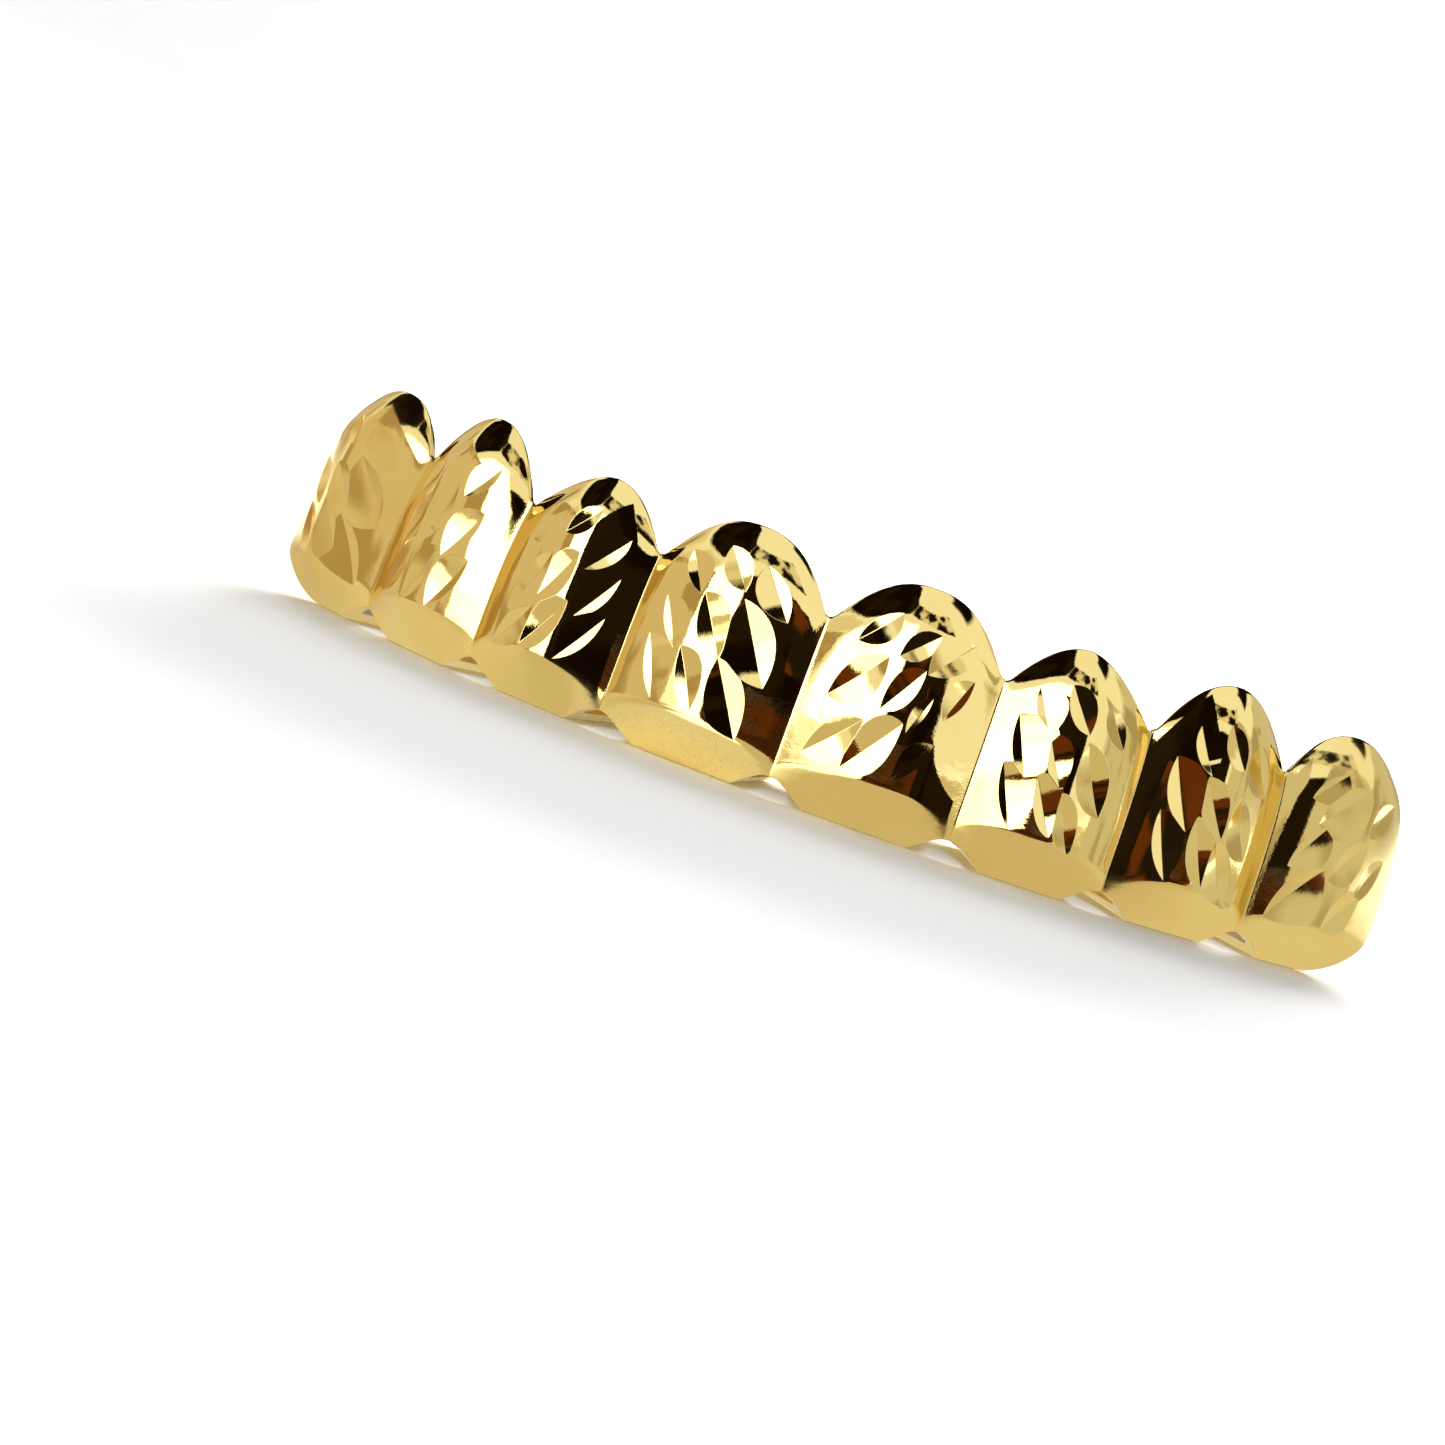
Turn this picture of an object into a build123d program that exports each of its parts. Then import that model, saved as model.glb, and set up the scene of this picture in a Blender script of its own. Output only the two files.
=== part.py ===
from build123d import *

import os
from math import cos, radians, sin, sqrt, tan
from typing import NamedTuple

# An upper grillz set: eight joined tooth covers cast as one thin metal shell.
#
# The shell is a bent trough. Its front wall is a row of eight convex tooth faces with a round lobe
# at the gum and a V groove between neighbours. Below each face a bevel turns under the biting edge
# into a flat foot, and a low wall closes the trough behind the teeth. A notch opens the foot under
# each groove, and nine lens-shaped facets are cut into each face by a V-edged wheel.
#
# Millimetres. +Z points up to the gum, -Y to the lips, and the feet stand on Z = 0. The origin lies
# on the floor, under the middle of the set.

# Metal
wall = 0.7
heel_inside_radius = 0.6

# Row of teeth, from the midline outwards: groove to groove, and the heading of each face
central_width = 9.0
lateral_width = 7.7
canine_width = 7.8
premolar_width = 7.6
central_heading = 6.4
lateral_heading = 16.4
canine_heading = 32.2
premolar_heading = 40.3
end_heading = 50.0
end_wrap = 0.35

# Heights above the floor
central_crown = 12.1
lateral_crown = 11.75
canine_crown = 12.35
premolar_crown = 11.75
gum_valley = 9.0
front_crease = 1.85
side_crease = 2.05
crease_crest = 0.35

# Front face: how far it stands proud of its grooves, leans back and rolls in at the gum
face_bulge = 1.75
face_lean = 0.09
belly_sag = 0.35
crown_drop = 2.9
crown_inset = 1.8
valley_drop = 0.9
valley_inset = 0.2

# Underside and back wall
bevel_run = 1.9
front_reach = 7.0
side_reach = 8.2
back_lean = 0.3
back_bulge = 0.5
back_valley = 5.0
back_crown = 6.2

# Notch under each groove, which runs out towards the back, and the round corner of each free end
notch_height = 1.3
notch_straight_share = 0.75
notch_foot_width = 4.4
notch_top_width = 1.8
notch_back_height = 0.2
notch_back_foot_width = 2.2
notch_back_top_width = 0.9
end_corner_width = 3.0
end_corner_height = 3.4

# Facets
wheel_radius = 11.0
wheel_half_width = 2.5
wheel_slope = 12.0
facet_depth = 0.3
facet_columns = 3
facet_rows = 3


class Tooth(NamedTuple):
    """One cover of the right half.

    The lobe's peak lies off centre by a share of the half width, towards the midline. Columns and
    drift of the facet lattice are shares of the width, and its rows and height of the crown.
    """

    width: float
    heading: float
    crown: float
    lobe_power: float
    lobe_skew: float
    facet_lean: float
    column_step: float
    row_step: float
    row_drift: float
    lattice_height: float


TEETH = [
    Tooth(central_width, central_heading, central_crown, 2.3, 0.0, -28.0, 0.25, 0.255, 0.0, 0.58),
    Tooth(lateral_width, lateral_heading, lateral_crown, 1.8, 0.1, 28.0, 0.25, 0.22, 0.03, 0.54),
    Tooth(canine_width, canine_heading, canine_crown, 2.0, 0.05, 28.0, 0.25, 0.22, 0.03, 0.54),
    Tooth(premolar_width, premolar_heading, premolar_crown, 2.1, 0.1, -28.0, 0.25, 0.22, 0.03, 0.54),
]

# How far cuts reach from the row, to the lips and to the tongue
before_lips = face_bulge + wall
behind_teeth = side_reach + back_bulge + wall

# Where the sections of a cover stand, from its inner groove at -1 to its outer groove at 1
STATIONS = (-1.0, -0.8, -0.45, 0.0, 0.45, 0.8, 1.0)


class Place(NamedTuple):
    """Where a cover stands, and what it shares with its neighbours at its grooves."""

    tooth: Tooth
    start: Vector
    inner_heading: float
    outer_heading: float
    inner_reach: float
    outer_reach: float
    inner_crease: float
    outer_wrap: float


def between(low: float, high: float, s: float) -> float:
    """Go from low at station -1 to high at station 1."""
    return low + (high - low) * (s + 1) / 2


def direction(heading: float) -> Vector:
    """Give the direction along the row at a heading in degrees."""
    return Vector(cos(radians(heading)), sin(radians(heading)))


def lay_out_row() -> list[Place]:
    """Chain the covers of the right half from groove to groove."""
    places = []
    start = Vector(0, 0)
    inner_heading = 0.0
    inner_crease = front_crease
    reach_step = (side_reach - front_reach) / len(TEETH)
    for index, tooth in enumerate(TEETH):
        at_end = tooth is TEETH[-1]
        outer_heading = end_heading if at_end else (tooth.heading + TEETH[index + 1].heading) / 2
        inner_reach = front_reach + index * reach_step
        outer_reach = inner_reach + reach_step
        outer_wrap = end_wrap if at_end else 0.0
        shared = (inner_heading, outer_heading, inner_reach, outer_reach, inner_crease, outer_wrap)
        places.append(Place(tooth, start, *shared))
        start = start + direction(tooth.heading) * tooth.width
        inner_heading = outer_heading
        inner_crease = side_crease
    return places


def section_plane(place: Place, s: float) -> Plane:
    """Stand a plane across the row at a station: X points inwards and Y up."""
    along = direction(between(place.inner_heading, place.outer_heading, s))
    foot = place.start + direction(place.tooth.heading) * (place.tooth.width * (s + 1) / 2)
    return Plane(origin=foot, x_dir=Vector(-along.Y, along.X), z_dir=along)


def proud(place: Place, s: float) -> float:
    """Say how far the face stands in front of its grooves, on an arc that wraps a free end."""
    half = place.tooth.width / 2
    radius = (half**2 + face_bulge**2) / (2 * face_bulge)
    return sqrt(radius**2 - (s * half) ** 2) - (radius - face_bulge) + place.outer_wrap * ((s + 1) / 2) ** 2


def inward(corner: Vector, before: Vector, after: Vector) -> Vector:
    """Set a corner of the outer outline in by one wall, given the directions on its two sides."""
    first = Vector(-before.Y, before.X).normalized()
    second = Vector(-after.Y, after.X).normalized()
    return corner + (first + second) * (wall / (1 + first.dot(second)))


def draw_section(place: Place, s: float):
    """Draw the wall of the trough at a station as one closed outline."""
    tooth = place.tooth
    lobe = 1 - abs(s + tooth.lobe_skew * (1 - s**2)) ** tooth.lobe_power
    front = -proud(place, s)
    drop = valley_drop + (crown_drop - valley_drop) * lobe
    inset = valley_inset + (crown_inset - valley_inset) * lobe
    top = gum_valley + (tooth.crown - gum_valley) * lobe
    crease = Vector(front, between(place.inner_crease, side_crease, s) + crease_crest * (1 - s**2))
    shoulder = Vector(front + face_lean * (top - drop - crease.Y), top - drop)
    rim = Vector(shoulder.X + inset, top)
    foot = Vector(bevel_run - face_bulge, 0)
    heel = between(place.inner_reach, place.outer_reach, s) + back_bulge * (1 - s**2)
    heel_radius = heel_inside_radius + wall
    back_top = Vector(heel + back_lean, back_valley + (back_crown - back_valley) * lobe)

    belly = ThreePointArc(crease, (crease + shoulder) / 2 - Vector(belly_sag, 0), shoulder)
    roll = TangentArc(shoulder, rim, tangent=belly % 1)
    rim_inside = inward(rim, -(roll % 1), -(roll % 1))
    shoulder_inside = inward(shoulder, -(belly % 1), -(belly % 1))
    crease_inside = inward(crease, -(belly % 0), foot - crease)
    foot_inside = inward(foot, foot - crease, Vector(1, 0))
    Line(rim, rim_inside)
    TangentArc(shoulder_inside, rim_inside, tangent=belly % 1)
    TangentArc(shoulder_inside, crease_inside, tangent=-(belly % 1))
    Polyline(crease_inside, foot_inside, (heel - heel_radius, wall))
    RadiusArc((heel - heel_radius, wall), (heel - wall, heel_radius), -heel_inside_radius)
    Polyline((heel - wall, heel_radius), back_top - Vector(wall, 0), back_top, (heel, heel_radius))
    RadiusArc((heel, heel_radius), (heel - heel_radius, 0), heel_radius)
    Polyline((heel - heel_radius, 0), foot, crease)


def cast_cover(place: Place) -> Part:
    """Loft one cover through its stations."""
    with BuildPart() as cover:
        for s in STATIONS:
            with BuildSketch(section_plane(place, s)):
                with BuildLine():
                    draw_section(place, s)
                make_face()
        loft()
    return cover.part


def cut_facets(cover: Part, place: Place) -> Part:
    """Cut a leaning lattice of facets into the face of a cover with a V-edged wheel."""
    tooth = place.tooth
    shoulder_radius = wheel_radius - wheel_half_width * tan(radians(wheel_slope))
    with BuildPart() as wheel:
        with BuildSketch(Plane.XZ):
            Polygon(
                (0, -wheel_half_width),
                (shoulder_radius, -wheel_half_width),
                (wheel_radius, 0),
                (shoulder_radius, wheel_half_width),
                (0, wheel_half_width),
                align=None,
            )
        revolve(axis=Axis.Z)
    with BuildPart() as faceted:
        add(cover)
        for row in range(facet_rows):
            from_middle_row = row - (facet_rows - 1) / 2
            height = tooth.crown * (tooth.lattice_height + tooth.row_step * from_middle_row)
            for column in range(facet_columns):
                from_middle_column = column - (facet_columns - 1) / 2
                across = tooth.column_step * from_middle_column + tooth.row_drift * from_middle_row
                section = section_plane(place, 2 * across)
                lips = section.origin + Vector(0, 0, height) - section.x_dir * wheel_radius
                point, normal = cover.find_intersection_points(Axis(lips, section.x_dir))[0]
                up = (Vector(0, 0, 1) - normal * normal.Z).normalized()
                lean = radians(tooth.facet_lean)
                cut = up * cos(lean) + normal.cross(up) * sin(lean)
                centre = point + normal * (wheel_radius - facet_depth)
                with Locations(Plane(origin=centre, x_dir=cut, z_dir=cut.cross(normal)).location):
                    add(wheel.part, mode=Mode.SUBTRACT)
    return faceted.part


def outward_plane(place: Place, s: float) -> Plane:
    """Stand a plane on a station, facing the lips, with X along the row and Y up."""
    section = section_plane(place, s)
    return Plane(origin=section.origin, x_dir=section.z_dir, z_dir=-section.x_dir)


def cut_notch(groove: Plane) -> Part:
    """Make what is cut away under a groove: open below the floor, round on top, low at the back."""
    ends = [
        (before_lips, notch_foot_width, notch_top_width, notch_height),
        (-behind_teeth, notch_back_foot_width, notch_back_top_width, notch_back_height),
    ]
    with BuildPart() as notch:
        for distance, foot_width, top_width, height in ends:
            left_foot = Vector(-foot_width / 2, 0)
            right_foot = Vector(foot_width / 2, 0)
            left_top = Vector(-top_width / 2, height * notch_straight_share)
            right_top = Vector(top_width / 2, height * notch_straight_share)
            below = Vector(0, -wall)
            with BuildSketch(groove.offset(distance)):
                with BuildLine():
                    ThreePointArc(left_top, (0, height), right_top)
                    Polyline(right_top, right_foot, right_foot + below, left_foot + below, left_foot, left_top)
                make_face()
        loft()
    return notch.part


places = lay_out_row()
covers = [cut_facets(cast_cover(place), place) for place in places]
grooves = [outward_plane(places[0], -1)] + [outward_plane(place, 1) for place in places[:-1]]

with BuildPart() as row:
    for cover in covers:
        add(cover)
    for groove in grooves:
        add(cut_notch(groove), mode=Mode.SUBTRACT)
    with BuildSketch(outward_plane(places[-1], 1).offset(before_lips)):
        with BuildLine():
            TangentArc((-end_corner_width, 0), (0, end_corner_height), tangent=(1, 0))
            Polyline(
                (0, end_corner_height),
                (before_lips, end_corner_height),
                (before_lips, -wall),
                (-end_corner_width, -wall),
                (-end_corner_width, 0),
            )
        make_face()
    extrude(amount=-before_lips - behind_teeth, mode=Mode.SUBTRACT)
    mirror(about=Plane.YZ)

middle = row.part.bounding_box().center()
with BuildPart() as tooth_cover:
    with Locations((0, -middle.Y, 0)):
        add(row.part)
tooth_cover.part.label = "tooth_cover"

os.makedirs("parts", exist_ok=True)
export_step(tooth_cover.part, "parts/tooth_cover.step")
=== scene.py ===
"""Looks of a gold-plated upper grillz set: eight joined tooth covers with diamond-cut faces.

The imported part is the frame. One finished shell replaces its only node: the same trough, drawn with
many more sections, soft creases and rims, notches under the grooves and leaf-shaped cuts made by a
V-edged wheel. The shell is worked out in millimetres and brought to metres at the end.
"""

from math import cos, pi, radians, sin, tan
from typing import NamedTuple

import bpy
import numpy as np
from mathutils import Matrix, Vector
from mathutils.bvhtree import BVHTree


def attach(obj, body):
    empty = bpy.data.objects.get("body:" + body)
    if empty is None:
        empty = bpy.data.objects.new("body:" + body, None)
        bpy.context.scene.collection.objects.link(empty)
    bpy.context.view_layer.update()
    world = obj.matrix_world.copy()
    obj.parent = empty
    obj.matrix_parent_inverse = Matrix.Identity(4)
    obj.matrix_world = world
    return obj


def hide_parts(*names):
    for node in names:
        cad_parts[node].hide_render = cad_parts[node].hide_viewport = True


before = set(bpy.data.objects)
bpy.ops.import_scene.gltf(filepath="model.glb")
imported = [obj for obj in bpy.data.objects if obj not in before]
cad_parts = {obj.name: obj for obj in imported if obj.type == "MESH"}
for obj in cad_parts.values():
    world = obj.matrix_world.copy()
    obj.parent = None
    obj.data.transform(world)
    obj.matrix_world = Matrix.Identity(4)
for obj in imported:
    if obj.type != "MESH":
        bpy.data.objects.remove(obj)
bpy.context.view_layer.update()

MM = 0.001
UP = np.array([0, 0, 1.0])
NEARLY_ZERO = 1e-9

# The metal, in millimetres
wall = 0.55
heel_inside_radius = 0.6
rim_round = 0.14
crease_round = 0.3
foot_round = 0.22
back_top_round = 0.16
inner_round = 0.15
tangent_gap = 0.02

# Heights and depths that the teeth share
gum_valley = 8.8
front_crease = 1.85
side_crease = 2.05
crease_crest = 0.35
crease_sag = 0.3
face_bulge = 1.75
face_power = 1.5
ridge_soft = 0.12
face_lean = 0.09
face_foot_lean = 0.055
face_top_lean = 0.22
crown_drop = 2.9
crown_inset = 1.8
valley_drop = 0.9
valley_inset = 0.2
bevel_run = 1.9
bevel_swell = 0.08
front_reach = 7.0
side_reach = 8.2
back_lean = 0.3
back_bulge = 0.5
back_valley = 5.0
back_crown = 6.2
end_heading = 50.0
end_wrap = 0.35

# Soft valleys between the lobes and soft grooves between the faces, as shares of half a tooth
valley_soft = 0.09
groove_soft = 0.018

# Distance along the row from the midline where the polish begins to go dull, and where it is duller
satin_start = 25.0
satin_full = 31.0

# How far the midline groove stands in front of the origin
row_setback = 8.163

# How finely the shell, its cutting forms and the backdrop are drawn
TOOTH_STEPS = 40
RIM_STEPS = 4
ROLL_STEPS = 12
FACE_STEPS = 30
CREASE_STEPS = 6
BEVEL_STEPS = 7
FOOT_STEPS = 4
FLOOR_STEPS = 6
HEEL_STEPS = 7
BACK_STEPS = 9
EDGE_STEPS = 2
INNER_ROUND_STEPS = 2
ARC_STEPS = 14
SWEEP_STEPS = 16

# Points on the curves of a section before they are spaced evenly
FACE_POINTS = 60
ROLL_POINTS = 40
BEVEL_POINTS = 24
HEEL_POINTS = 24
INNER_FACE_POINTS = 40
INNER_ROLL_POINTS = 20
INNER_HEEL_POINTS = 16

# Notch under a groove, at the lips and at the tongue, and the round corner of a free end
notch_height = 1.3
notch_straight_share = 0.75
notch_foot_width = 4.4
notch_top_width = 1.8
notch_back_height = 0.2
notch_back_foot_width = 2.2
notch_back_top_width = 0.9
end_corner_width = 3.4
end_corner_height = 5.0
end_shoulder_width = 2.0
end_shoulder_foot = 5.6
end_shoulder_top = 11.12
end_shoulder_fall = 0.72

# How far the forms that cut them reach past the metal, and so in front of the grooves and behind them
cutter_margin = 1.0
cutter_front = face_bulge + cutter_margin
cutter_back = -side_reach - back_bulge - cutter_margin

# How far the polish rounds the edges of the cuts and grooves
edge_round = 0.05

# Wheel that cuts the leaves: its size, its slope and upward aim in degrees, and how much of each face's
# own direction is in its aim
wheel_radius = 8.0
wheel_half_width = 2.2
wheel_slope = 16.0
wheel_segments = 240
aim_up = 6.0
wheel_follow = 0.65

# How near to the wheel's middle plane its edge lies, and how far in front of the grooves the search for a
# leaf's place on the face starts
ring_limit = 0.01
look_from = 5.0

# How far a face may be from the uncut shell or from a wheel and still be part of it
shell_limit = 0.002
wheel_limit = 0.01

# How strongly the faces curve along a leaf, per millimetre
face_curve = 0.085


class Tooth(NamedTuple):
    """One cover of the right half. The lobe leans towards the midline by a share of half the width."""

    width: float
    heading: float
    crown: float
    lobe_power: float
    lobe_skew: float


TEETH = [
    Tooth(9.0, 6.4, 12.1, 2.3, 0.0),
    Tooth(7.7, 16.4, 11.75, 1.8, 0.1),
    Tooth(7.8, 32.2, 12.35, 2.0, 0.05),
    Tooth(7.6, 40.3, 11.75, 2.1, 0.1),
]


class Leaf(NamedTuple):
    """One cut: place across the face and above the floor, lean of its valley line in degrees, and length."""

    across: float
    height: float
    lean: float
    length: float


class Cuts(NamedTuple):
    """The leaves of one face, and how far the wheel is aimed aside of it in degrees.

    Positive is to the wearer's left. The aim stays the same over a face, so the leaves where the face
    turns away from it have one narrow and one broad side.
    """

    place: int
    aim: float
    leaves: list


CUTS = [
    Cuts(-4, -6.0, [
        Leaf(-1.9, 8.9, -34, 2.4), Leaf(-0.5, 9.2, -30, 2.4), Leaf(1.7, 8.9, -43, 3.0),
        Leaf(-1.5, 6.2, -38, 3.0), Leaf(0.4, 6.3, -40, 3.3), Leaf(1.9, 6.5, -34, 3.6),
        Leaf(-1.0, 3.6, -34, 2.8), Leaf(0.7, 3.9, -35, 3.1), Leaf(2.0, 3.3, -32, 3.5),
    ]),
    Cuts(-3, -4.0, [
        Leaf(-0.6, 10.4, 38, 2.0), Leaf(1.6, 9.3, 33, 2.7), Leaf(-1.9, 8.6, 28, 2.6),
        Leaf(-1.6, 6.4, 20, 2.8), Leaf(0.1, 7.2, 16, 3.2), Leaf(1.7, 6.5, 28, 2.8),
        Leaf(-1.5, 4.0, 22, 2.8), Leaf(0.2, 4.0, 21, 3.0), Leaf(1.8, 4.0, 26, 2.7),
    ]),
    Cuts(-2, 2.0, [
        Leaf(-1.5, 8.6, 34, 2.5), Leaf(0.2, 9.4, 36, 2.8), Leaf(1.9, 8.3, 40, 2.9),
        Leaf(-1.4, 5.8, 26, 3.4), Leaf(0.0, 6.5, 27, 3.4), Leaf(2.1, 6.1, 34, 2.8),
        Leaf(-1.5, 3.5, 38, 3.0), Leaf(0.2, 4.1, 31, 3.3), Leaf(2.0, 4.0, 34, 2.8),
    ]),
    Cuts(-1, 8.0, [
        Leaf(-2.1, 9.1, -42, 2.8), Leaf(-0.1, 9.9, -39, 3.2), Leaf(2.0, 9.4, -35, 3.2),
        Leaf(-2.4, 6.4, -35, 2.5), Leaf(-0.3, 6.9, -33, 3.5), Leaf(1.8, 6.8, -30, 4.0),
        Leaf(-2.6, 4.1, -27, 2.7), Leaf(-0.6, 4.1, -30, 3.0), Leaf(1.5, 3.9, -30, 3.5),
    ]),
    Cuts(1, -2.0, [
        Leaf(-1.9, 9.6, 37, 2.8), Leaf(0.2, 9.4, 46, 2.9), Leaf(1.9, 9.3, 45, 3.4),
        Leaf(-2.1, 7.1, 39, 3.4), Leaf(0.1, 7.2, 32, 3.0), Leaf(2.7, 7.5, 26, 2.3),
        Leaf(-2.3, 4.0, 44, 3.2), Leaf(-0.4, 4.3, 36, 3.7), Leaf(1.2, 6.3, 22, 1.9),
        Leaf(1.6, 4.1, 34, 2.3),
    ]),
    Cuts(2, 14.0, [
        Leaf(-1.8, 8.5, -33, 2.6), Leaf(-0.2, 9.1, -35, 3.2), Leaf(1.8, 8.8, -30, 2.6),
        Leaf(-2.2, 6.4, -26, 3.1), Leaf(-0.6, 6.3, -29, 2.8), Leaf(1.4, 6.1, -27, 3.5),
        Leaf(-2.2, 4.1, -25, 2.7), Leaf(-0.5, 4.2, -29, 3.0), Leaf(0.7, 3.7, -25, 2.9),
    ]),
    Cuts(3, -4.0, [
        Leaf(-1.5, 9.2, -30, 2.8), Leaf(0.0, 9.7, -30, 3.0), Leaf(1.8, 9.0, -26, 2.8),
        Leaf(-2.0, 6.8, -25, 3.4), Leaf(-0.3, 6.6, -30, 3.3), Leaf(1.6, 6.0, -27, 3.0),
        Leaf(-2.1, 4.2, -22, 2.9), Leaf(-0.4, 4.4, -22, 3.2), Leaf(1.1, 3.6, -30, 3.4),
    ]),
    Cuts(4, 5.0, [
        Leaf(-1.8, 9.2, 40, 2.4), Leaf(-0.8, 8.5, 45, 3.8), Leaf(1.45, 8.3, 48, 2.9),
        Leaf(-2.1, 6.2, 29, 2.6), Leaf(-0.1, 6.0, 38, 3.2), Leaf(1.55, 5.3, 39, 2.8),
        Leaf(-2.1, 3.8, 34, 3.3), Leaf(0.3, 3.4, 41, 3.3),
    ]),
]


# Lines and arcs of a section, as arrays of points. X runs inwards and Y up.


def unit(vector):
    return vector / np.linalg.norm(vector)


def turned(vector):
    """Turn a vector a quarter turn to the left."""
    return np.array([-vector[1], vector[0]])


def tangent_arc(start, end, tangent, count):
    """Draw an arc that leaves start along a tangent and ends at end. Also give its end tangent."""
    tangent = unit(tangent)
    chord = end - start
    side = turned(tangent)
    offset = chord @ side
    if abs(offset) < NEARLY_ZERO:
        share = np.linspace(0, 1, count)[:, None]
        return start + chord * share, tangent
    radius = (chord @ chord) / (2 * offset)
    centre = start + side * radius
    angle = 2 * np.arctan2(offset, chord @ tangent)
    turns = np.linspace(0, angle, count)[:, None]
    from_centre = start - centre
    points = centre + from_centre * np.cos(turns) + turned(from_centre) * np.sin(turns)
    end_tangent = tangent * cos(angle) + side * sin(angle)
    return points, end_tangent


def bent_line(start, start_slope, end, end_slope, count):
    """Draw a cubic curve between two points that keeps to a direction at each."""
    reach = np.linalg.norm(end - start) / 3
    first = start + unit(start_slope) * reach
    second = end - unit(end_slope) * reach
    share = np.linspace(0, 1, count)[:, None]
    rest = 1 - share
    return start * rest**3 + first * 3 * rest**2 * share + second * 3 * rest * share**2 + end * share**3


def trimmed(points, from_start, from_end, count):
    """Cut lengths off both ends of a drawn line and space it evenly."""
    steps = np.linalg.norm(np.diff(points, axis=0), axis=1)
    run = np.concatenate([[0], np.cumsum(steps)])
    wanted = np.linspace(from_start, run[-1] - from_end, count)
    return np.stack([np.interp(wanted, run, points[:, axis]) for axis in (0, 1)], axis=1)


def softened(start, corner, end, count):
    """Round a corner between two points, leaving both out."""
    share = np.linspace(0, 1, count + 2)[1:-1, None]
    return start * (1 - share) ** 2 + corner * 2 * share * (1 - share) + end * share**2


class Stretch(NamedTuple):
    """A drawn line of a section's outline, and the round that joins it to the next one."""

    zone: str
    points: np.ndarray
    count: int
    round_size: float = tangent_gap
    round_count: int = 0


def closed_ring(stretches):
    """Join stretches into a closed outline."""
    spaced = []
    for before, stretch in zip(stretches[-1:] + stretches[:-1], stretches):
        spaced.append(trimmed(stretch.points, before.round_size, stretch.round_size, stretch.count))
    ring = []
    for stretch, points, following in zip(stretches, spaced, spaced[1:] + spaced[:1]):
        ring.append(points)
        ring.append(softened(points[-1], stretch.points[-1], following[0], stretch.round_count))
    return np.concatenate(ring)


def zones_of(stretches):
    """Name the zone of each point of the outline. The points of a round go over from one zone to the next."""
    zones = []
    for stretch, following in zip(stretches, stretches[1:] + stretches[:1]):
        zones += [(stretch.zone, stretch.zone, 0.0)] * stretch.count
        for step in range(stretch.round_count):
            zones.append((stretch.zone, following.zone, (step + 1) / (stretch.round_count + 1)))
    return zones


def straight(start, end):
    return np.stack([start, end])


def inset(corner, before, after):
    """Set a corner in by one wall, given the directions on its two sides."""
    first = turned(unit(before))
    second = turned(unit(after))
    return corner + (first + second) * (wall / (1 + first @ second))


# The row of teeth


class Place(NamedTuple):
    """Where a cover stands, and what it shares with its neighbours at its grooves."""

    tooth: Tooth
    start: np.ndarray
    inner_heading: float
    outer_heading: float
    inner_reach: float
    outer_reach: float
    inner_crease: float
    outer_wrap: float


def between(low, high, s):
    """Go from low at station -1 to high at station 1."""
    return low + (high - low) * (s + 1) / 2


def direction(heading):
    return np.array([cos(radians(heading)), sin(radians(heading))])


def lay_out_row():
    """Chain the covers of the right half from groove to groove."""
    places = []
    start = np.zeros(2)
    inner_heading = 0.0
    inner_crease = front_crease
    reach_step = (side_reach - front_reach) / len(TEETH)
    for index, tooth in enumerate(TEETH):
        at_end = index == len(TEETH) - 1
        outer_heading = end_heading if at_end else (tooth.heading + TEETH[index + 1].heading) / 2
        inner_reach = front_reach + index * reach_step
        outer_reach = inner_reach + reach_step
        outer_wrap = end_wrap if at_end else 0.0
        shared = (inner_heading, outer_heading, inner_reach, outer_reach, inner_crease, outer_wrap)
        places.append(Place(tooth, start, *shared))
        start = start + direction(tooth.heading) * tooth.width
        inner_heading = outer_heading
        inner_crease = side_crease
    return places


def eased(s, soft):
    """Let a station slow down just before the grooves, so that what follows it ends softly there."""
    size = abs(s)
    over = max(0.0, size - (1 - soft))
    return np.sign(s) * (size - over**2 / (2 * soft))


def proud(place, s):
    """Say how far the face stands in front of its grooves. Its sides are flatter than its middle."""
    at_free_end = place.outer_wrap > 0 and s > 0
    soft = s if at_free_end else eased(s, groove_soft)
    wrap = place.outer_wrap * ((s + 1) / 2) ** 2
    return face_bulge * (1 - (soft**2 + ridge_soft**2) ** (face_power / 2) + ridge_soft**face_power) + wrap


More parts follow.
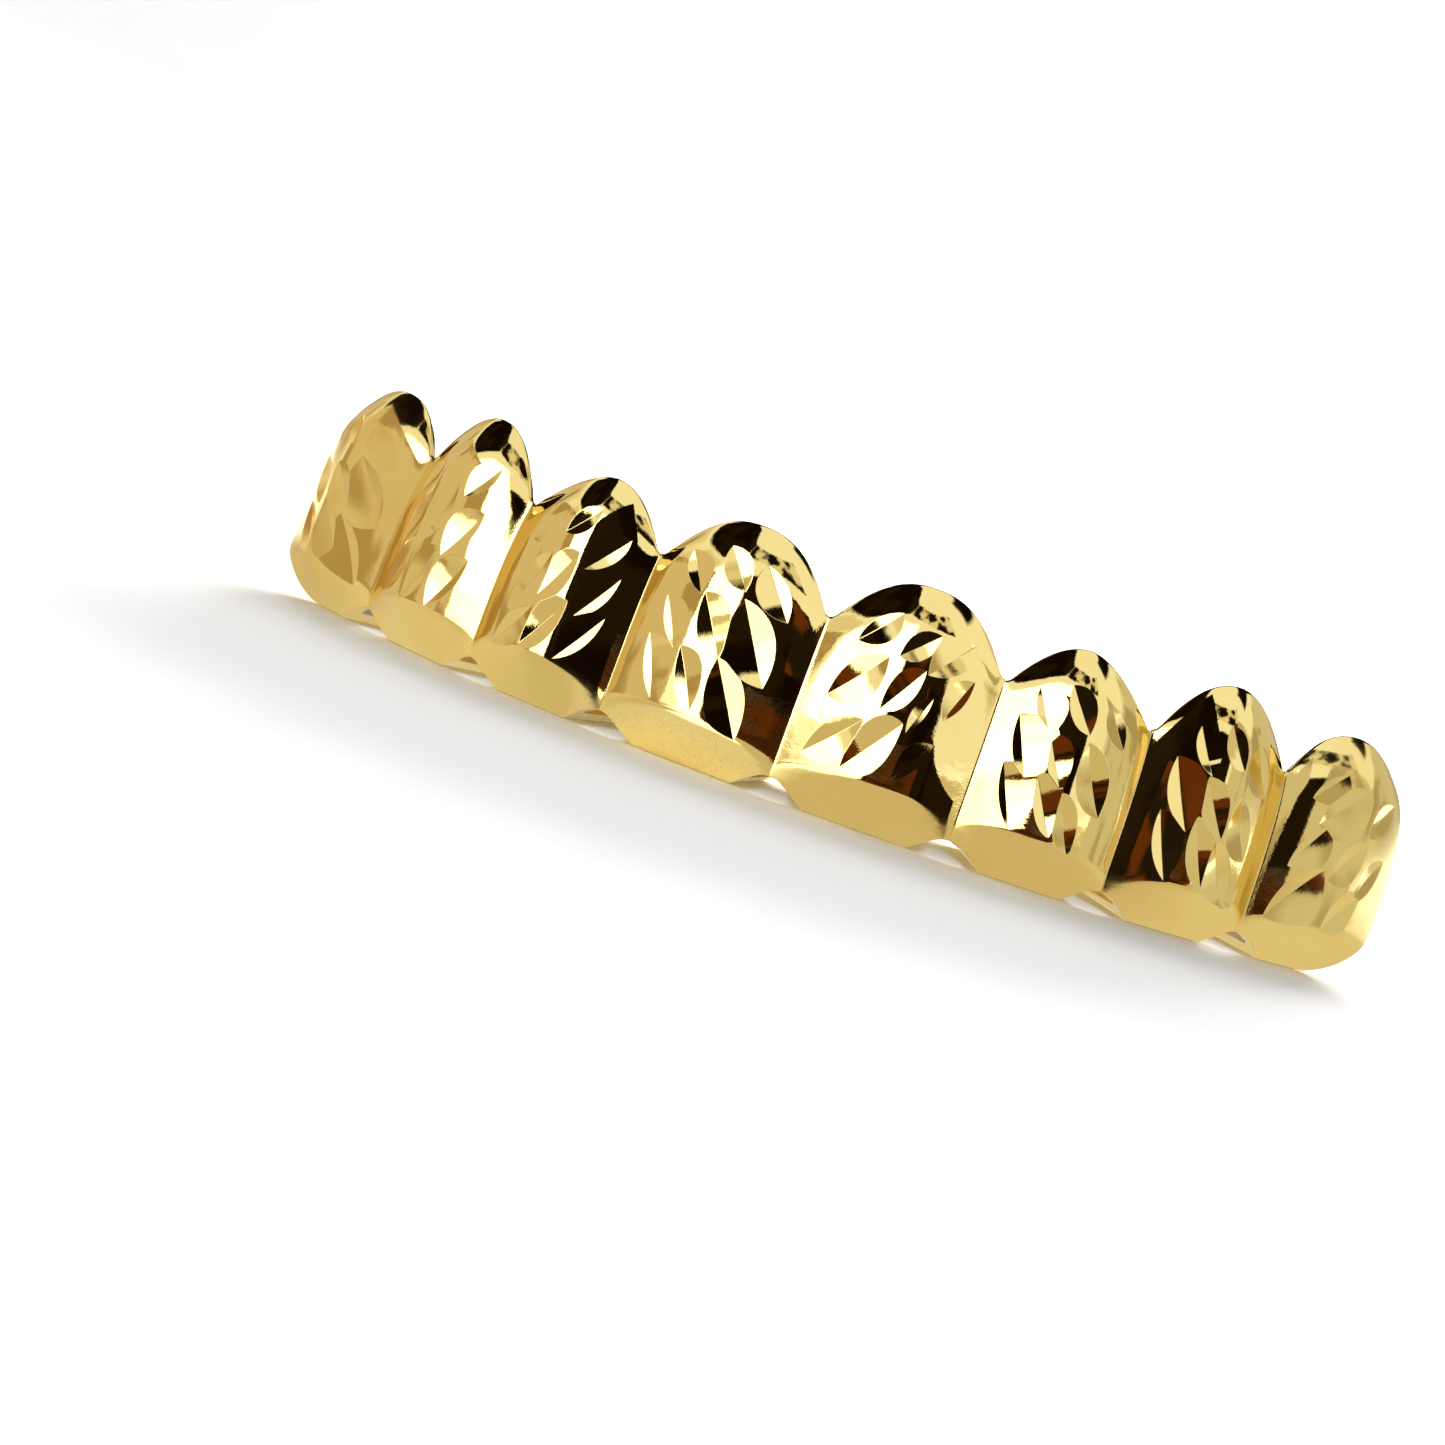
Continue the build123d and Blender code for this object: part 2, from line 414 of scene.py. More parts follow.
def section(place, s):
    """Draw the trough's wall at a station, from the rim down the face, under to the back and round inside."""
    tooth = place.tooth
    at_free_end = place.outer_wrap > 0 and s > 0
    soft = s if at_free_end else eased(s, valley_soft)
    lobe = 1 - abs(soft + tooth.lobe_skew * (1 - soft**2)) ** tooth.lobe_power
    front = -proud(place, s)
    drop = valley_drop + (crown_drop - valley_drop) * lobe
    roll_in = valley_inset + (crown_inset - valley_inset) * lobe
    top = gum_valley + (tooth.crown - gum_valley) * lobe
    crease_height = between(place.inner_crease, side_crease, s) + crease_crest * (1 - s**2)
    crease_height -= crease_sag * s**4
    crease = np.array([front, crease_height])
    shoulder = np.array([front + face_lean * (top - drop - crease[1]), top - drop])
    rim = shoulder + np.array([roll_in, drop])
    foot = np.array([bevel_run - face_bulge, 0.0])
    heel = between(place.inner_reach, place.outer_reach, s) + back_bulge * (1 - s**2)
    heel_radius = heel_inside_radius + wall
    back_top = np.array([heel + back_lean, back_valley + (back_crown - back_valley) * lobe])

    lower_slope = np.array([face_foot_lean, 1.0])
    upper_slope = np.array([face_top_lean, 1.0])
    face = bent_line(crease, lower_slope, shoulder, upper_slope, FACE_POINTS)
    roll, rim_slope = tangent_arc(shoulder, rim, upper_slope, ROLL_POINTS)
    rim_inside = inset(rim, -rim_slope, -rim_slope)
    shoulder_inside = inset(shoulder, -upper_slope, -upper_slope)
    crease_inside = inset(crease, -lower_slope, foot - crease)
    foot_inside = inset(foot, foot - crease, np.array([1.0, 0.0]))
    roll_inside, _ = tangent_arc(shoulder_inside, rim_inside, upper_slope, INNER_ROLL_POINTS)
    face_inside = bent_line(crease_inside, lower_slope, shoulder_inside, upper_slope, INNER_FACE_POINTS)
    under = foot - crease
    swell = turned(under) * bevel_swell
    bevel = bent_line(crease, under - swell, foot, under + swell, BEVEL_POINTS)
    backwards = np.array([1.0, 0.0])
    floor_end = np.array([heel - heel_radius, 0.0])
    heel_top = np.array([heel, heel_radius])
    heel_arc, _ = tangent_arc(floor_end, heel_top, backwards, HEEL_POINTS)
    inner_floor_end = np.array([heel - heel_radius, wall])
    heel_top_inside = np.array([heel - wall, heel_radius])
    inner_heel, _ = tangent_arc(inner_floor_end, heel_top_inside, backwards, INNER_HEEL_POINTS)
    back_inside = back_top - np.array([wall, 0.0])
    inner_corner = (inner_round, INNER_ROUND_STEPS)

    return [
        Stretch("roll", roll[::-1], ROLL_STEPS),
        Stretch("face", face[::-1], FACE_STEPS, crease_round, CREASE_STEPS),
        Stretch("bevel", bevel, BEVEL_STEPS, foot_round, FOOT_STEPS),
        Stretch("floor", straight(foot, floor_end), FLOOR_STEPS),
        Stretch("heel", heel_arc, HEEL_STEPS),
        Stretch("back", straight(heel_top, back_top), BACK_STEPS, back_top_round, RIM_STEPS),
        Stretch("back_edge", straight(back_top, back_inside), EDGE_STEPS, back_top_round, RIM_STEPS),
        Stretch("inside", straight(back_inside, heel_top_inside), BACK_STEPS // 2),
        Stretch("inside", inner_heel[::-1], HEEL_STEPS // 2 + 1),
        Stretch("inside", straight(inner_floor_end, foot_inside), FLOOR_STEPS // 2, *inner_corner),
        Stretch("inside", straight(foot_inside, crease_inside), BEVEL_STEPS // 2, *inner_corner),
        Stretch("inside", face_inside, FACE_STEPS // 2),
        Stretch("inside", roll_inside, ROLL_STEPS // 2, rim_round, RIM_STEPS),
        Stretch("rim", straight(rim_inside, rim), EDGE_STEPS, rim_round, RIM_STEPS),
    ]


def stations():
    """Space the stations of a cover closer towards its grooves."""
    return [sin(pi / 2 * share) for share in np.linspace(-1, 1, TOOTH_STEPS + 1)]


class Shell(NamedTuple):
    """The uncut trough as a mesh, and what its materials need to know at each point."""

    points: np.ndarray
    faces: list
    marks: dict


# How bright each zone is polished, and which zones lie inside; the others have 0
POLISH = {"roll": 1.0, "face": 1.0, "rim": 0.8}
INSIDE = {"inside": 1.0}


def spread(levels, zones):
    """Give each point of an outline the level of its zone, or what lies between two zones' levels."""
    return np.array([levels.get(a, 0.0) * (1 - share) + levels.get(b, 0.0) * share for a, b, share in zones])


def draw_shell(places):
    """Draw the whole trough as a closed mesh."""
    rows = []
    row_marks = []
    for index, place in enumerate(places):
        for s in stations():
            if index and s == -1.0:
                continue
            stretches = section(place, s)
            outline = closed_ring(stretches)
            foot, _, inwards = station_frame(places, index + 1, s)
            rows.append(foot + outline[:, :1] * inwards + outline[:, 1:] * UP)
            run = sum(tooth.width for tooth in TEETH[:index]) + place.tooth.width * (s + 1) / 2
            to_groove = place.tooth.width * (1 - abs(s)) / 2
            if place.outer_wrap and s > 0:
                to_groove = place.tooth.width / 2
            soft_end = np.clip((run - satin_start) / (satin_full - satin_start), 0, 1)
            row_marks.append((run, to_groove, soft_end))
    left = [points * [-1, 1, 1] for points in rows[:0:-1]]
    left_marks = [(-run, to_groove, soft_end) for run, to_groove, soft_end in row_marks[:0:-1]]
    rows = np.array(left + rows)
    row_marks = np.array(left_marks + row_marks)
    row_count, ring = rows.shape[:2]
    faces = []
    for row in range(row_count - 1):
        for step in range(ring):
            this = row * ring + step
            after = row * ring + (step + 1) % ring
            faces.append((this, after, after + ring, this + ring))
    faces.append(tuple(range(ring - 1, -1, -1)))
    faces.append(tuple((row_count - 1) * ring + step for step in range(ring)))
    zones = zones_of(stretches)
    marks = {
        "run": np.repeat(row_marks[:, 0], ring),
        "to_groove": np.repeat(row_marks[:, 1], ring),
        "soft_end": np.repeat(row_marks[:, 2], ring),
        "polish": np.tile(spread(POLISH, zones), row_count),
        "inside": np.tile(spread(INSIDE, zones), row_count),
    }
    return Shell(rows.reshape(-1, 3), faces, marks)


# Nodes of shaders and of Geometry Nodes

# Numbers of a mix node's sockets for colours
MIX_COLOURS = (6, 7)
MIX_RESULT = 2


def feed(node, inputs):
    """Give a node its inputs by name or number: each a constant, or an output to link."""
    for name, value in inputs.items():
        if isinstance(value, bpy.types.NodeSocket):
            node.id_data.links.new(value, node.inputs[name])
        else:
            node.inputs[name].default_value = value


def new_node(tree, kind, inputs=None, output=0, **settings):
    """Add a node with its settings and inputs, and give one of its outputs."""
    node = tree.nodes.new(kind)
    for name, value in settings.items():
        setattr(node, name, value)
    feed(node, inputs or {})
    return node.outputs[output]


def math_node(tree, operation, first, second=0.0):
    return new_node(tree, "ShaderNodeMath", {0: first, 1: second}, operation=operation)


def weighted_sum(tree, base, *terms):
    """Add a base and some marks, each times its weight."""
    total = base
    for mark, weight in terms:
        total = math_node(tree, "ADD", total, math_node(tree, "MULTIPLY", mark, weight))
    return total


def between_node(tree, value, span, at_low=0.0, at_high=1.0):
    """Go softly from one value to another while the input goes through a span."""
    inputs = {"Value": value, "From Min": span[0], "From Max": span[1], "To Min": at_low, "To Max": at_high}
    return new_node(tree, "ShaderNodeMapRange", inputs, interpolation_type="SMOOTHSTEP")


def colour_mix(tree, share, *colours):
    inputs = {"Factor": share, **dict(zip(MIX_COLOURS, colours))}
    return new_node(tree, "ShaderNodeMix", inputs, MIX_RESULT, data_type="RGBA")


def object_place(tree):
    return new_node(tree, "ShaderNodeTexCoord", output="Object")


def noise_node(tree, scale, detail=2.0, roughness=0.5):
    """Noise over the object, with its scale per metre."""
    inputs = {"Vector": object_place(tree), "Scale": scale, "Detail": detail, "Roughness": roughness}
    return new_node(tree, "ShaderNodeTexNoise", inputs, "Fac")


def mark_node(tree, name):
    return new_node(tree, "ShaderNodeAttribute", output="Fac", attribute_name=name)


# Cutting the shell


def station_frame(places, number, s):
    """Give a station's foot, the direction along the row to the wearer's left, and inwards."""
    side = 1 if number > 0 else -1
    place = places[abs(number) - 1]
    own = s * side
    heading = radians(between(place.inner_heading, place.outer_heading, own))
    foot = place.start + direction(place.tooth.heading) * (place.tooth.width * (own + 1) / 2)
    along = np.array([cos(heading), side * sin(heading), 0.0])
    inwards = np.array([-side * sin(heading), cos(heading), 0.0])
    return np.array([side * foot[0], foot[1], 0.0]), along, inwards


def mesh_object(name, points, faces, material=None):
    mesh = bpy.data.meshes.new(name)
    mesh.from_pydata([tuple(point) for point in points], [], faces)
    mesh.validate()
    piece = bpy.data.objects.new(name, mesh)
    bpy.context.scene.collection.objects.link(piece)
    if material:
        mesh.materials.append(material)
    return piece


def prism(ends):
    """Close a form between two outlines with equally many points, the first in front."""
    count = len(ends[0])
    points = np.concatenate(ends)
    faces = [tuple(range(count - 1, -1, -1)), tuple(range(count, 2 * count))]
    for step in range(count):
        after = (step + 1) % count
        faces.append((step, after, count + after, count + step))
    return points, faces


def notch_outline(foot_width, top_width, height):
    """Draw a notch seen from the lips: open below, with leaning sides and a round top."""
    straight_height = height * notch_straight_share
    rise = height - straight_height
    half = top_width / 2
    radius = (half**2 + rise**2) / (2 * rise)
    reach = np.arcsin(half / radius)
    turns = np.linspace(-reach, reach, ARC_STEPS)
    top = np.column_stack([radius * np.sin(turns), height - radius + radius * np.cos(turns)])
    right = np.array([[foot_width / 2, 0.0], [foot_width / 2, -cutter_margin]])
    left = right[::-1] * [-1, 1]
    return np.concatenate([top, right, left])


def placed(outline, station, distance):
    """Stand an outline up across the row, at a distance in front of a station."""
    foot, along, inwards = station
    return foot - inwards * distance + outline[:, :1] * along + outline[:, 1:] * UP


def cut_notches(places):
    """Make one form for each groove, which leaves a notch when it is taken away."""
    lips = notch_outline(notch_foot_width, notch_top_width, notch_height)
    tongue = notch_outline(notch_back_foot_width, notch_back_top_width, notch_back_height)
    cutters = []
    for number in (-3, -2, -1, 1, 2, 3, 0):
        outer = (number, np.sign(number)) if number else (1, -1.0)
        station = station_frame(places, *outer)
        cutters.append(prism([placed(lips, station, cutter_front), placed(tongue, station, cutter_back)]))
    return cutters


def cut_end_corners(places):
    """Make two forms for each free end, which leave a round lower corner and a round shoulder."""
    aside = 3.0
    above = 14.0
    below = -cutter_margin
    turns = np.linspace(0, pi / 2, ARC_STEPS)
    arc_x = -end_corner_width * (1 - np.sin(turns))
    arc = np.column_stack([arc_x, end_corner_height * (1 - np.cos(turns))])
    lower = np.concatenate([arc, [[aside, end_corner_height], [aside, below], [-end_corner_width, below]]])
    shoulder_foot = np.array([0.0, end_shoulder_foot])
    shoulder_top = np.array([-end_shoulder_width, end_shoulder_top])
    slope = np.array([-1.0, end_shoulder_fall])
    bend = bent_line(shoulder_foot, np.array([0.0, 1.0]), shoulder_top, slope, ARC_STEPS)
    beyond = shoulder_top + slope * (above - end_shoulder_top) / end_shoulder_fall
    upper = np.concatenate([bend, [beyond, [aside, above], [aside, end_shoulder_foot]]])
    cutters = []
    for side in (-1, 1):
        station = station_frame(places, len(TEETH) * side, float(side))
        for outline in (lower, upper):
            shape = (outline * [side, 1])[::side]
            cutters.append(prism([placed(shape, station, end) for end in (cutter_front, cutter_back)]))
    return cutters


class Seats(NamedTuple):
    """Where the wheel is set for each leaf: its centre, its axis, the way it points and the way it cuts."""

    centres: np.ndarray
    axes: np.ndarray
    pointers: np.ndarray
    cuts: np.ndarray


def values_of(items, name, kind, width=1):
    """Take a property of all points, loops or faces of a mesh as an array."""
    values = np.zeros(len(items) * width, kind)
    items.foreach_get(name, values)
    return values.reshape(-1, width) if width > 1 else values


def smooth_normals(shell):
    """Give the rounded direction of the shell's surface at each of its points."""
    mesh = bpy.data.meshes.new("uncut")
    mesh.from_pydata([tuple(point) for point in shell.points], [], shell.faces)
    mesh.shade_smooth()
    normals = values_of(mesh.vertices, "normal", float, 3)
    bpy.data.meshes.remove(mesh)
    return normals


def triangles_of(shell):
    """Split the shell's quads, leaving out its two end caps."""
    quads = np.array([face for face in shell.faces if len(face) == 4])
    return np.concatenate([quads[:, [0, 1, 2]], quads[:, [0, 2, 3]]])


def shares_in(corners, points):
    """Say how a point in each triangle is shared between its corners."""
    a, b, c = corners[:, 0], corners[:, 1], corners[:, 2]
    normal = np.cross(b - a, c - a)
    size = np.maximum((normal * normal).sum(1), NEARLY_ZERO**2)
    second = (np.cross(points - a, c - a) * normal).sum(1) / size
    third = (np.cross(b - a, points - a) * normal).sum(1) / size
    shares = np.column_stack([1 - second - third, second, third])
    shares = np.clip(shares, 0, 1)
    return shares / shares.sum(1, keepdims=True)


def seat_wheels(places, shell, normals, triangles, tree):
    """Set the wheel for every leaf, so deep that its valley line gets the wanted length."""
    seats = []
    for cuts in CUTS:
        half_width = TEETH[abs(cuts.place) - 1].width / 2
        _, sideways, back = station_frame(places, cuts.place, 0.0)
        aim = -back * cos(radians(cuts.aim)) + sideways * sin(radians(cuts.aim))
        aim = aim * cos(radians(aim_up)) + UP * sin(radians(aim_up))
        for leaf in cuts.leaves:
            foot, _, inwards = station_frame(places, cuts.place, leaf.across / half_width)
            lips = foot - inwards * look_from + UP * leaf.height
            hit, _, index, _ = tree.ray_cast(Vector(lips), Vector(inwards))
            corner_points = shell.points[triangles[index]][None]
            share = shares_in(corner_points, np.array(hit)[None])[0]
            normal = unit(share @ normals[triangles[index]])
            up = unit(UP - normal * normal[2])
            lean = radians(leaf.lean)
            line = up * cos(lean) + np.cross(up, normal) * sin(lean)
            turned_aim = aim * (1 - wheel_follow) + normal * wheel_follow
            axis = unit(np.cross(line, turned_aim))
            pointer = np.cross(axis, line)
            depth = leaf.length**2 / 8 * (1 / wheel_radius + face_curve)
            seats.append((np.array(hit) + pointer * (wheel_radius - depth), axis, pointer, line))
    return Seats(*(np.array(part) for part in zip(*seats)))


def seat_object(seats):
    """Keep the seats as loose points that carry the wheel's turn."""
    piece = mesh_object("leaf_seats", seats.centres, [])
    turn = piece.data.attributes.new("turn", "FLOAT_VECTOR", "POINT")
    for index, (cut, pointer, axis) in enumerate(zip(seats.cuts, seats.pointers, seats.axes)):
        turn.data[index].vector = Matrix((cut, pointer, axis)).transposed().to_euler("XYZ")
    return piece


def leaf_cutting():
    """Build the tree that sets a V-edged wheel on every seat and cuts the shell with all of them."""
    tree = bpy.data.node_groups.new("leaf_cutting", "GeometryNodeTree")
    kinds = {"Shell": "Geometry", "Seats": "Object", "Segments": "Int", "Cut metal": "Material"}
    for name in ("Shell", "Seats", "Wheel radius", "Shoulder radius", "Wheel width", "Segments", "Cut metal"):
        kind = "NodeSocket" + kinds.get(name, "Float")
        tree.interface.new_socket(name, in_out="INPUT", socket_type=kind)
    tree.interface.new_socket("Shell", in_out="OUTPUT", socket_type="NodeSocketGeometry")
    given = tree.nodes.new("NodeGroupInput").outputs
    shoulder = given["Shoulder radius"]

    # A cylinder whose middle ring is grown to the wheel's edge
    inputs = {"Vertices": given["Segments"], "Side Segments": 2, "Radius": shoulder}
    wheel = new_node(tree, "GeometryNodeMeshCylinder", {**inputs, "Depth": given["Wheel width"]})
    place = new_node(tree, "GeometryNodeInputPosition")
    level = math_node(tree, "ABSOLUTE", new_node(tree, "ShaderNodeSeparateXYZ", {0: place}, "Z"))
    at_edge = new_node(tree, "FunctionNodeCompare", {"A": level, "B": ring_limit}, operation="LESS_THAN")
    growth = math_node(tree, "DIVIDE", given["Wheel radius"], shoulder)
    grown = new_node(tree, "ShaderNodeVectorMath", {0: place, "Scale": growth}, operation="SCALE")
    inputs = {"Geometry": wheel, "Selection": at_edge, "Position": grown}
    edge = new_node(tree, "GeometryNodeSetPosition", inputs)
    inputs = {"Geometry": edge, "Name": "cut", "Value": True}
    marked = new_node(tree, "GeometryNodeStoreNamedAttribute", inputs, data_type="BOOLEAN", domain="FACE")

    # One wheel on each seat, all taken away from the shell
    seats = new_node(tree, "GeometryNodeObjectInfo", {"Object": given["Seats"]}, "Geometry")
    turn = new_node(tree, "GeometryNodeInputNamedAttribute", {"Name": "turn"}, data_type="FLOAT_VECTOR")
    rotation = new_node(tree, "FunctionNodeEulerToRotation", {0: turn})
    inputs = {"Points": seats, "Instance": marked, "Rotation": rotation}
    wheels = new_node(tree, "GeometryNodeInstanceOnPoints", inputs)
    inputs = {"Mesh 1": given["Shell"], "Mesh 2": wheels}
    cut = new_node(tree, "GeometryNodeMeshBoolean", inputs, operation="DIFFERENCE", solver="MANIFOLD")

    whole = new_node(tree, "GeometryNodeRealizeInstances", {"Geometry": cut})
    is_cut = new_node(tree, "GeometryNodeInputNamedAttribute", {"Name": "cut"}, data_type="BOOLEAN")
    inputs = {"Geometry": whole, "Selection": is_cut, "Material": given["Cut metal"]}
    finished = new_node(tree, "GeometryNodeSetMaterial", inputs)
    feed(tree.nodes.new("NodeGroupOutput"), {"Shell": finished})
    return tree


def set_inputs(modifier, values):
    """Give a modifier's inputs by name, through the identifiers of its sockets."""
    for item in modifier.node_group.interface.items_tree:
        if item.in_out == "INPUT" and item.name in values:
            modifier[item.identifier] = values[item.name]


def evaluated(piece):
    """Take what an object's modifiers make as a plain mesh, and clear them."""
    graph = bpy.context.evaluated_depsgraph_get()
    mesh = bpy.data.meshes.new_from_object(piece.evaluated_get(graph), depsgraph=graph)
    piece.modifiers.clear()
    return mesh


def wheel_normals(seats, points, centres):
    """Give the direction of the cut metal at points, from the wheel that touches each face's centre.

    Also say how far each centre is from that wheel.
    """
    slope = radians(wheel_slope)
    away = centres[:, None] - seats.centres[None]
    level = (away * seats.axes[None]).sum(2)
    radial = away - level[..., None] * seats.axes[None]
    miss = abs(np.linalg.norm(radial, axis=2) - (wheel_radius - abs(level) * tan(slope)))
    wheel = miss.argmin(1)
    own_axis = seats.axes[wheel]
    side = np.sign(level[np.arange(len(wheel)), wheel])[:, None]
    from_centre = points - seats.centres[wheel]
    from_axis = from_centre - (from_centre * own_axis).sum(1)[:, None] * own_axis
    from_axis /= np.linalg.norm(from_axis, axis=1)[:, None]
    normals = -(from_axis * cos(slope) + side * own_axis * sin(slope))
    return normals, miss.min(1)


def finish_shell(mesh, shell, normals, triangles, tree, seats):
    """Bring the cut shell to metres and give it its marks and exact surface directions."""
    points = values_of(mesh.vertices, "co", float, 3)
    nearest = [tree.find_nearest(Vector(point)) for point in points]
    owners = np.array([index for _, _, index, _ in nearest])
    on_shell = np.array([place for place, _, _, _ in nearest])
    corners = triangles[owners]
    shares = shares_in(shell.points[corners], on_shell)
    rounded = (normals[corners] * shares[..., None]).sum(1)
    rounded /= np.linalg.norm(rounded, axis=1)[:, None]

    loop_points = values_of(mesh.loops, "vertex_index", np.int32)
    face_sizes = values_of(mesh.polygons, "loop_total", np.int32)
    face_of_loop = np.repeat(np.arange(len(face_sizes)), face_sizes)
    face_normals = values_of(mesh.polygons, "normal", float, 3)
    centres = values_of(mesh.polygons, "center", float, 3)
    is_cut = values_of(mesh.attributes["cut"].data, "value", bool)

    loop_normals = rounded[loop_points]
    off_shell = np.array([tree.find_nearest(Vector(centre))[3] for centre in centres]) > shell_limit
    plain = (off_shell & ~is_cut)[face_of_loop]
    loop_normals[plain] = face_normals[face_of_loop][plain]
    cut_loops = is_cut[face_of_loop]
    cut_faces = face_of_loop[cut_loops]
    cut_normals, miss = wheel_normals(seats, points[loop_points[cut_loops]], centres[cut_faces])
    flat = miss > wheel_limit
    cut_normals[flat] = face_normals[cut_faces][flat]
    loop_normals[cut_loops] = cut_normals

    for name, values in shell.marks.items():
        mark = mesh.attributes.new(name, "FLOAT", "POINT")
        mark.data.foreach_set("value", (values[corners] * shares).sum(1))
    moved = (points - [0, row_setback, 0]) * MM
    mesh.vertices.foreach_set("co", moved.ravel())
    mesh.shade_smooth()
    mesh.update()
    mesh.normals_split_custom_set(loop_normals.tolist())
    return mesh


def make_shell(face_metal, cut_metal):
    """Draw, cut and finish the tooth cover."""
    places = lay_out_row()
    shell = draw_shell(places)
    normals = smooth_normals(shell)
    triangles = triangles_of(shell)
    tree = BVHTree.FromPolygons(shell.points.tolist(), triangles.tolist())
    seats = seat_wheels(places, shell, normals, triangles, tree)
    uncut = mesh_object("uncut_shell", shell.points, shell.faces, face_metal)
    helpers = [uncut, seat_object(seats)]
    cutting = uncut.modifiers.new("leaves", "NODES")
    cutting.node_group = leaf_cutting()
    shoulder = wheel_radius - wheel_half_width * tan(radians(wheel_slope))
    sizes = {
        "Seats": helpers[1],
        "Wheel radius": wheel_radius,
        "Shoulder radius": shoulder,
        "Wheel width": 2 * wheel_half_width,
        "Segments": wheel_segments,
        "Cut metal": cut_metal,
    }
    set_inputs(cutting, sizes)
    for points, faces in cut_notches(places) + cut_end_corners(places):
        helpers.append(mesh_object("notch_form", points, faces, face_metal))
        opening = uncut.modifiers.new("opening", "BOOLEAN")
        opening.operation = "DIFFERENCE"
        opening.solver = "MANIFOLD"
        opening.object = helpers[-1]
    mesh = evaluated(uncut)
    for helper in helpers:
        bpy.data.objects.remove(helper)
    mesh = finish_shell(mesh, shell, normals, triangles, tree, seats)
    piece = bpy.data.objects.new("diamond_cut_shell", mesh)
    bpy.context.scene.collection.objects.link(piece)
    return piece


# Metals

GOLD = (0.96, 0.77, 0.3, 1.0)
DEEP_GOLD = (0.9, 0.62, 0.2, 1.0)

# Share of deep gold in the patches: on the faces, on most cuts, and on those at the wearer's right end.
# The cuts go from one to the other over a stretch of the row, measured from the midline.
face_patches = 0.25
cut_patches = 0.15
end_cut_patches = 1.0
red_run = (-27.0, -17.0)

# Roughness when polished, and what is added to it at most
polished_rough = 0.025
satin_rough = 0.25
inside_rough = 0.08
wear_rough = 0.06
face_end_rough = 0.2
cut_end_rough = 0.12

# The skin: its height in metres, how strong its swell and grain are, and how far a groove's grain reaches
skin_height = 0.00003
face_swell = 0.4
cut_swell = 0.35
face_grain = 0.035
cut_grain = 0.03
groove_grain = 0.1
inside_grain = 0.4
groove_reach = 0.5

# Noise scales per metre, and the noise levels between which patches and wear set in
patch_scale = 260.0
swell_scale = 700.0
wear_scale = 1100.0
face_grain_scale = 9000.0
cut_grain_scale = 14000.0
patch_span = (0.42, 0.7)
wear_span = (0.35, 0.65)


def group_with(name, inputs, outputs):
    """Start a shader group with float or colour sockets."""
    kinds = {float: "NodeSocketFloat", tuple: "NodeSocketColor"}
    group = bpy.data.node_groups.new(name, "ShaderNodeTree")
    for label, value in inputs.items():
        socket = group.interface.new_socket(label, in_out="INPUT", socket_type=kinds[type(value)])
        socket.default_value = value
    for label, kind in outputs.items():
        group.interface.new_socket(label, in_out="OUTPUT", socket_type=kinds[kind])
    return group, group.nodes.new("NodeGroupInput").outputs


def gold_tone_group():
    """Plating that is a little redder in patches."""
    inputs = {"Gold": GOLD, "Deep gold": DEEP_GOLD, "Patch share": face_patches}
    tree, given = group_with("gold_tone", inputs, {"Tone": tuple})
    patches = noise_node(tree, patch_scale, detail=3.0)
    strong = between_node(tree, patches, patch_span, 0.0, given["Patch share"])
    tone = colour_mix(tree, strong, given["Gold"], given["Deep gold"])
    feed(tree.nodes.new("NodeGroupOutput"), {"Tone": tone})
    return tree


def cast_skin_group():
    """The faint swell and fine grain that casting and plating leave, and how unevenly satin wears."""
    inputs = {"Swell": face_swell, "Grain": cut_grain, "Grain scale": face_grain_scale}
    tree, given = group_with("cast_skin", inputs, {"Height": float, "Wear": float})
    swell = noise_node(tree, swell_scale)
    grain = noise_node(tree, given["Grain scale"], detail=3.0)
    height = weighted_sum(tree, 0.0, (swell, given["Swell"]), (grain, given["Grain"]))
    wear = noise_node(tree, wear_scale, detail=4.0, roughness=0.6)
    feed(tree.nodes.new("NodeGroupOutput"), {"Height": height, "Wear": wear})
    return tree


tone_group = gold_tone_group()
skin_group = cast_skin_group()


def new_paint(name):
    paint = bpy.data.materials.new(name)
    paint.use_nodes = True
    return paint, paint.node_tree


def new_metal(name):
    metal, tree = new_paint(name)
    shader = tree.nodes["Principled BSDF"]
    feed(shader, {"Metallic": 1.0})
    return metal, tree, shader


def toned(tree, patch_share):
    return new_node(tree, "ShaderNodeGroup", {"Patch share": patch_share}, "Tone", node_tree=tone_group)


def skinned(tree, swell, grain, grain_scale):
    """Raise a skin over slightly rounded edges. Give the surface's direction and its wear."""
    inputs = {"Swell": swell, "Grain": grain, "Grain scale": grain_scale}
    height = new_node(tree, "ShaderNodeGroup", inputs, "Height", node_tree=skin_group)
    rounded = new_node(tree, "ShaderNodeBevel", {"Radius": edge_round * MM}, samples=6)
    inputs = {"Distance": skin_height, "Height": height, "Normal": rounded}
    return new_node(tree, "ShaderNodeBump", inputs), height.node.outputs["Wear"]


def make_face_metal():
    """Mirror-polished faces that go over to satin bevels, back and inside."""
    metal, tree, shader = new_metal("plated_gold")
    inside = mark_node(tree, "inside")
    dull = math_node(tree, "SUBTRACT", 1.0, mark_node(tree, "polish"))
    in_groove = between_node(tree, mark_node(tree, "to_groove"), (0.0, groove_reach), 1.0, 0.0)
    grain = weighted_sum(tree, face_grain, (in_groove, groove_grain), (inside, inside_grain))
    normal, wear = skinned(tree, face_swell, grain, face_grain_scale)
    worn = between_node(tree, wear, wear_span, -wear_rough, wear_rough)
    by_mark = [(dull, satin_rough), (mark_node(tree, "soft_end"), face_end_rough), (inside, inside_rough)]
    rough = weighted_sum(tree, polished_rough, *by_mark, (dull, worn))
    feed(shader, {"Base Color": toned(tree, face_patches), "Normal": normal, "Roughness": rough})
    return metal


